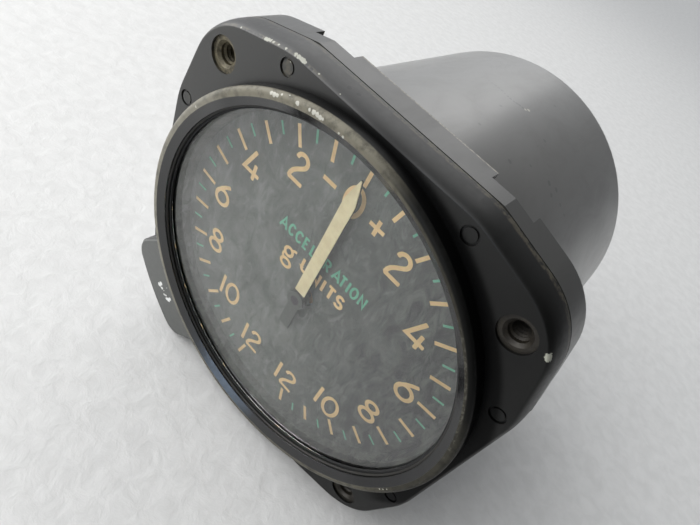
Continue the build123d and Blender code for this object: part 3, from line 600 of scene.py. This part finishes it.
def letter(sign, w, h):
    """Strokes of a plain capital, its left edge at x = 0 and its foot at z = 0."""
    if sign == "A":
        return [[(0, 0), (w / 2, h), (w, 0)], [(w * 0.2, h * 0.3), (w * 0.8, h * 0.3)]]
    if sign == "C":
        return [arc(w * 0.58, h / 2, w * 0.58, h / 2, 50, -230, 18)]
    if sign == "E":
        return [[(w, h), (0, h), (0, 0), (w, 0)], [(0, h * 0.52), (w * 0.85, h * 0.52)]]
    if sign == "I":
        return [[(w / 2, h), (w / 2, 0)]]
    if sign == "L":
        return [[(0, h), (0, 0), (w, 0)]]
    if sign == "N":
        return [[(0, 0), (0, h), (w, 0), (w, h)]]
    if sign == "O":
        return [arc(w / 2, h / 2, w / 2, h / 2, 0, 360, 26)]
    if sign == "R":
        bowl = [(0, h)] + arc(w * 0.5, h * 0.74, w * 0.5, h * 0.26, 0, 180, 10) + [(0, h * 0.48)]
        return [[(0, 0), (0, h)], bowl, [(w * 0.45, h * 0.48), (w, 0)]]
    if sign == "S":
        top = arc(w * 0.5, h * 0.74, w * 0.46, h * 0.26, 55, -170, 12)
        low = arc(w * 0.5, h * 0.25, w * 0.5, h * 0.25, 10, 245, 12)
        return [top + low]
    if sign == "T":
        return [[(0, h), (w, h)], [(w / 2, h), (w / 2, 0)]]
    if sign == "U":
        return [[(0, h), (0, h * 0.33)] + arc(w / 2, h * 0.33, w / 2, h * 0.33, -90, -270, 12) + [(w, h)]]
    raise ValueError(sign)


def word(bm, letters, z, h, width):
    """Letters given as (sign, left edge, right edge) of the stroke's outside."""
    for sign, x0, x1 in letters:
        w = x1 - x0 - width
        for k, stroke in enumerate(letter(sign, w, h - width)):
            points = [(x0 + width / 2 + px, z + width / 2 + pz) for px, pz in stroke]
            ribbon(bm, points, width, paint_y, LIFT * k)


def legend_quantity():
    bm = bmesh.new()
    letters = [
        ("A", -11.35, -9.2), ("C", -9.05, -7.45), ("C", -7.1, -5.4), ("E", -5.0, -3.75), ("L", -3.0, -1.8),
        ("E", -1.35, -0.1), ("R", 0.5, 2.15), ("A", 2.85, 5.0), ("T", 4.7, 6.2), ("I", 6.6, 7.15),
        ("O", 7.45, 9.3), ("N", 9.6, 11.3),
    ]
    word(bm, letters, 9.2, 2.85, 0.5)
    finish_mesh("legend_quantity", bm, GREEN, "housing")


def legend_unit():
    """Unit in capitals after a small g of two loops, a link and an ear."""
    bm = bmesh.new()
    letters = [("U", -3.5, -1.2), ("N", -0.75, 1.65), ("I", 2.2, 2.95), ("T", 3.45, 5.6), ("S", 5.8, 8.05)]
    word(bm, letters, 4.45, 3.35, 0.68)
    ribbon(bm, arc(-6.9, 5.75, 0.97, 0.97, 0, 360, 22), 0.68, paint_y)
    ribbon(bm, [(-6.25, 6.55), (-5.75, 6.95), (-5.3, 7.1)], 0.62, paint_y, LIFT)
    ribbon(bm, arc(-6.65, 2.95, 1.2, 0.93, 0, 360, 22), 0.68, paint_y, LIFT / 2)
    ribbon(bm, [(-7.65, 5.1), (-7.95, 4.6), (-7.9, 4.15), (-7.45, 3.7)], 0.55, paint_y, LIFT * 1.5)
    finish_mesh("legend_unit", bm, CREAM, "housing")


# Screw thread inside the corner inserts
INSERT_R = 3.05
THREAD_PITCH = 0.794
THREAD_STEPS = 28
THREAD_ROOT_R = 1.74
THREAD_CREST_R = 1.44
THREAD_START = 0.55


def insert_threads():
    bm = bmesh.new()
    low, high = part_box("corner_inserts")
    first = low.y / MM + THREAD_START
    turns = int((high.y / MM - first) / THREAD_PITCH)
    profile = [(THREAD_ROOT_R, 0.0), (THREAD_CREST_R, 0.44), (THREAD_CREST_R, 0.56), (THREAD_ROOT_R, 1.0)]
    for x, z in ((low.x, high.z), (high.x, high.z), (high.x, low.z)):
        cx = (abs(x) / MM - INSERT_R) * (1 if x > 0 else -1)
        cz = (abs(z) / MM - INSERT_R) * (1 if z > 0 else -1)
        rows = []
        for k in range(turns * THREAD_STEPS + 1):
            a = 2 * pi * k / THREAD_STEPS
            row = []
            for r, share in profile:
                y = first + THREAD_PITCH * (k / THREAD_STEPS + share)
                row.append(bm.verts.new(((cx + r * cos(a)) * MM, y * MM, (cz + r * sin(a)) * MM)))
            rows.append(row)
        for a, b in zip(rows, rows[1:]):
            for j in range(len(profile) - 1):
                bm.faces.new((a[j], a[j + 1], b[j + 1], b[j]))
    finish_mesh("insert_threads", bm, BRASS, "housing")


# Coil springs, fixed to a rod carrier at one end and following the weight at the other
COIL_TURNS = 6
COIL_STEPS = 40
WIRE_SIDES = 12
WIRE_R = 0.5


def spring(name, node, fixed_up):
    """Coil that replaces the node; its fixed end is the upper or the lower one."""
    low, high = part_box(node)
    way = 1 if fixed_up else -1
    centre_y = (low.y + high.y) / 2
    coil_r = (high.x - low.x) / 2 - WIRE_R * MM
    near = (low.z if fixed_up else high.z) + way * WIRE_R * MM
    length = high.z - low.z - 2 * WIRE_R * MM
    bm = bmesh.new()
    rings = []
    for k in range(COIL_TURNS * COIL_STEPS + 1):
        a = 2 * pi * k / COIL_STEPS
        out = Vector((cos(a), sin(a), 0))
        centre = Vector((0, centre_y, near)) + out * coil_r
        centre.z += way * length * k / (COIL_TURNS * COIL_STEPS)
        ring = []
        for j in range(WIRE_SIDES):
            b = 2 * pi * j / WIRE_SIDES
            ring.append(bm.verts.new(centre + (out * cos(b) + Vector((0, 0, sin(b)))) * WIRE_R * MM))
        rings.append(ring)
    for a, b in zip(rings, rings[1:]):
        for j in range(WIRE_SIDES):
            bm.faces.new((a[j - 1], a[j], b[j], b[j - 1]))
    bm.faces.new(rings[0])
    bm.faces.new(rings[-1][::-1])
    made = finish_mesh(name, bm, SPRING, None)
    made.data.shade_smooth()
    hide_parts(node)
    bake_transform(made)


scale_numerals()
scale_signs()
legend_quantity()
legend_unit()
insert_threads()
spring("upper_spring_wire", "upper_spring", True)
spring("lower_spring_wire", "lower_spring", False)


# Pale plastered floor just under the flange
FLOOR_SIZE = 6.0
FLOOR_SHIFT = 0.3
FLOOR_GAP = 0.0002


def make_floor():
    bpy.ops.mesh.primitive_plane_add(size=FLOOR_SIZE)
    floor = bpy.context.object
    floor.name = "floor"
    floor.location = (0, FLOOR_SHIFT, cad_box[0][2] - FLOOR_GAP)
    p = Paint("floor_white")
    ripple = p.noise(0.24, 5, 0.6, twist=0.4)
    p.bump(ripple, 0.55, 0.4)
    base = p.mix(p.ramp(ripple, 0.3, 0.7), (0.60, 0.60, 0.592), (0.655, 0.655, 0.647))
    floor.data.materials.append(p.out(Base_Color=base, Roughness=0.6, Specular_IOR_Level=0.3))


# Soft light: wide pale windows at the left, before and behind, and a low bluish one ahead
WINDOWS = [
    ((-0.85, 0.45, 0.28), 0.55),
    ((-0.7, -0.6, 0.4), 1.39),
    ((-0.2, 0.9, 0.4), 0.26),
]
WINDOW_EDGE = (0.25, 0.88)
LOW_WINDOW = (-0.05, -1.0, 0.03)
LOW_WINDOW_EDGE = (0.955, 0.975)
LOW_WINDOW_TOP = (0.20, 0.04)
LOW_WINDOW_STRENGTH = 3.0
AMBIENT = 0.05
PALE = (0.95, 0.97, 1.0)
BLUISH = (0.62, 0.78, 1.0)


def glow(n, toward, edge, strength):
    """Soft patch of light round a direction."""
    dot = n.tree.nodes.new("ShaderNodeVectorMath")
    dot.operation = "DOT_PRODUCT"
    n.set(dot.inputs[0], n.place)
    dot.inputs[1].default_value = Vector(toward).normalized()
    return n.ramp(dot.outputs["Value"], *edge, 0.0, strength)


def make_sky():
    world = bpy.data.worlds.new("studio")
    bpy.context.scene.world = world
    world.use_nodes = True
    n = Nodes(world.node_tree, "Generated")
    low_window = glow(n, LOW_WINDOW, LOW_WINDOW_EDGE, 1.0)
    low_window = n.maths("MULTIPLY", low_window, n.ramp(n.axis(2), *LOW_WINDOW_TOP))
    level = n.maths("ADD", n.maths("MULTIPLY", low_window, LOW_WINDOW_STRENGTH), AMBIENT)
    for toward, strength in WINDOWS:
        level = n.maths("ADD", level, glow(n, toward, WINDOW_EDGE, strength))
    background = world.node_tree.nodes["Background"]
    n.set(background.inputs["Color"], n.mix(low_window, PALE, BLUISH))
    n.set(background.inputs["Strength"], level)


LAMP_TARGET = Vector((0, 0.01, 0))
WARM = (1.0, 0.985, 0.96)


def lamp(name, place, size, power, colour):
    """Rectangular lamp in metres and watts, aimed at the dial's centre."""
    data = bpy.data.lights.new(name, "AREA")
    data.shape = "RECTANGLE"
    data.size, data.size_y = size
    data.energy = power
    data.color = colour
    made = bpy.data.objects.new(name, data)
    bpy.context.scene.collection.objects.link(made)
    made.location = place
    made.rotation_euler = (LAMP_TARGET - Vector(place)).to_track_quat("-Z", "Y").to_euler()


# Camera at the photograph's viewing angle
PHOTO_WIDTH = 700.0
FOCAL_PIXELS = 530.03
SENSOR = 36.0
CAMERA_PLACE = Vector((27.94, -57.867, 77.232)) * MM
CAMERA_RIGHT = Vector((0.67667, 0.63453, 0.37348))
CAMERA_AHEAD = Vector((-0.25759, 0.67921, -0.68725))


def make_camera():
    up = CAMERA_RIGHT.cross(CAMERA_AHEAD)
    turn = Matrix((CAMERA_RIGHT, up, -CAMERA_AHEAD)).transposed().to_4x4()
    data = bpy.data.cameras.new("camera")
    data.sensor_width = SENSOR
    data.lens = FOCAL_PIXELS * SENSOR / PHOTO_WIDTH
    data.clip_start = 0.005
    data.clip_end = 20.0
    camera = bpy.data.objects.new("camera", data)
    bpy.context.scene.collection.objects.link(camera)
    camera.matrix_world = Matrix.Translation(CAMERA_PLACE) @ turn
    bpy.context.scene.camera = camera


make_floor()
make_sky()
lamp("key", (-0.42, -0.14, 0.30), (0.6, 0.6), 1.75, WARM)
lamp("front", (-0.36, -0.40, 0.20), (0.5, 0.4), 1.7, WARM)
lamp("rear", (-0.22, 0.36, 0.36), (0.4, 0.4), 0.6, (1.0, 0.99, 0.975))
make_camera()
bpy.context.scene.view_settings.view_transform = "Standard"
